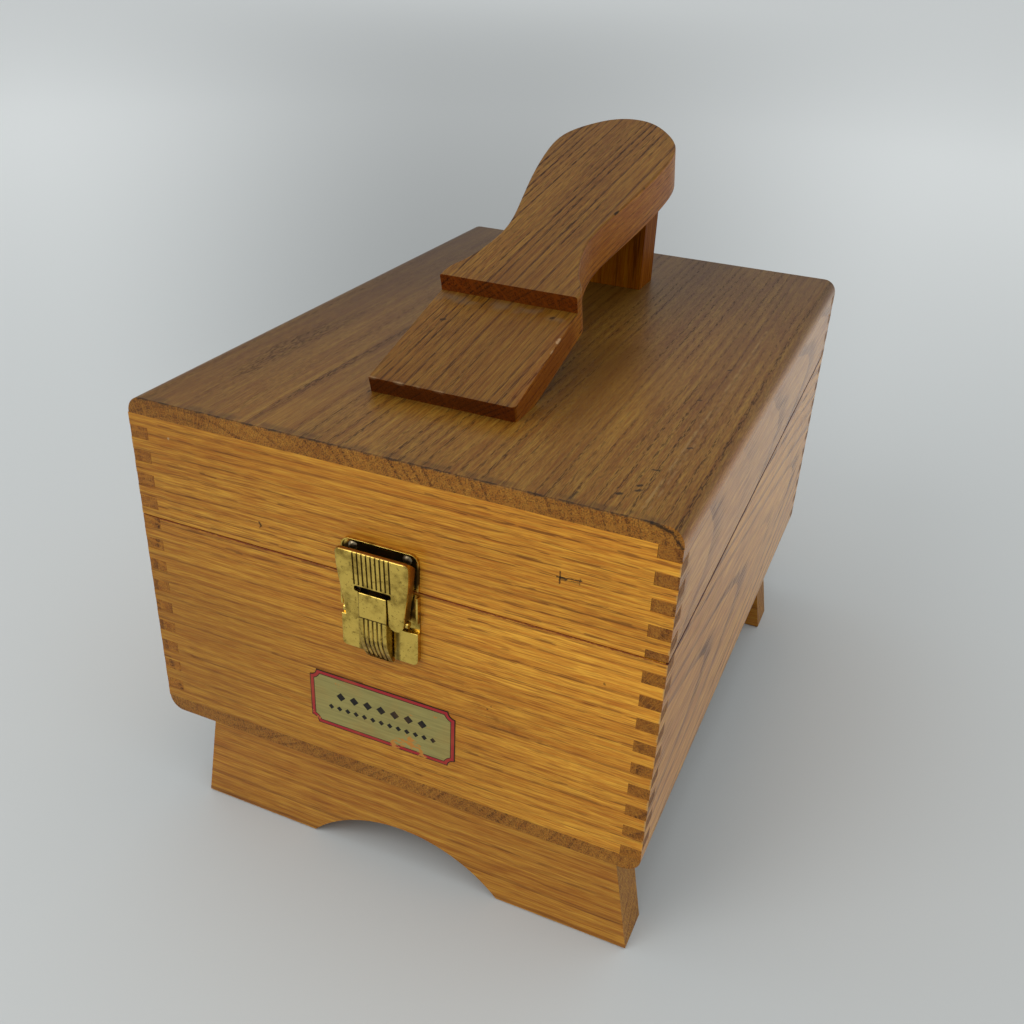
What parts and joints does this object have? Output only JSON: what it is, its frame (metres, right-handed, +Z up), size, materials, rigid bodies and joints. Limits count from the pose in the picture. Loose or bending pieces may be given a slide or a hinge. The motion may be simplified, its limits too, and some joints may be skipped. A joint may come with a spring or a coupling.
{
  "type": "shoe shine box",
  "caption": "Finger-jointed oak shoe shine box on arched feet, with a hinged lid, a sole-shaped footrest on a post and a spring catch at the front.",
  "frame": {"origin": "on the floor, under the middle of the outline seen from above (catch and hinges included)", "axes": "+Z up, -Y out of the face with the catch, +Y towards the hinges, +X to the right seen from the catch"},
  "size_m": [0.25, 0.3572, 0.3102],
  "materials": {
    "oak_walls": "satin varnish, honey-coloured oak",
    "oak_panels": "worn varnish, brown oak with long dark pores",
    "oak_footrest": "worn, tan oak",
    "oak_feet": "satin varnish, brown-gold oak",
    "worn_brass": "tarnished, yellow on the edges",
    "steel_screws": "dull",
    "label_print": "matt printed label, olive gold with a red border, blank"
  },
  "bodies": {
    "base": {"base_front_board": "oak_walls", "base_back_board": "oak_walls", "base_left_board": "oak_walls", "base_right_board": "oak_walls", "bottom_panel": "oak_panels", "front_foot": "oak_feet", "rear_foot": "oak_feet", "foot_screws": "steel_screws", "front_label": "label_print", "latch_base_plate": "worn_brass", "latch_base_rivets": "worn_brass", "latch_pivot_rivets": "worn_brass", "left_hinge_base_leaf": "worn_brass", "right_hinge_base_leaf": "worn_brass", "left_hinge_pin": "worn_brass", "right_hinge_pin": "worn_brass", "hinge_base_screws": "steel_screws"},
    "lid": {"lid_front_board": "oak_walls", "lid_back_board": "oak_walls", "lid_left_board": "oak_walls", "lid_right_board": "oak_walls", "lid_top_panel": "oak_panels", "footrest_sole": "oak_footrest", "footrest_post": "oak_footrest", "heel_screws": "steel_screws", "post_screws": "steel_screws", "latch_keeper_plate": "worn_brass", "latch_keeper_rivets": "worn_brass", "left_hinge_lid_leaf": "worn_brass", "right_hinge_lid_leaf": "worn_brass", "hinge_lid_screws": "steel_screws"},
    "hasp": {"latch_hasp": "worn_brass", "hasp_hook": "worn_brass"},
    "thumb_slide": {"latch_tongue": "worn_brass", "latch_thumb_slide": "worn_brass"}
  },
  "joints": [
    {"name": "lid_hinge", "type": "hinge", "parent": "base", "child": "lid", "pos_m": [0, 0.17645, 0.17611], "axis": [-1, 0, 0], "range_deg": [0, 100]},
    {"name": "hasp_hinge", "type": "hinge", "parent": "base", "child": "hasp", "pos_m": [0.0003, -0.17435, 0.14931], "axis": [1, 0, 0], "range_deg": [0, 90]},
    {"name": "thumb_slide", "type": "slide", "parent": "base", "child": "thumb_slide", "axis": [0, 0, -1], "range_m": [0, 0.003], "stiffness_N_per_m": 500, "springref_m": -0.002}
  ]
}
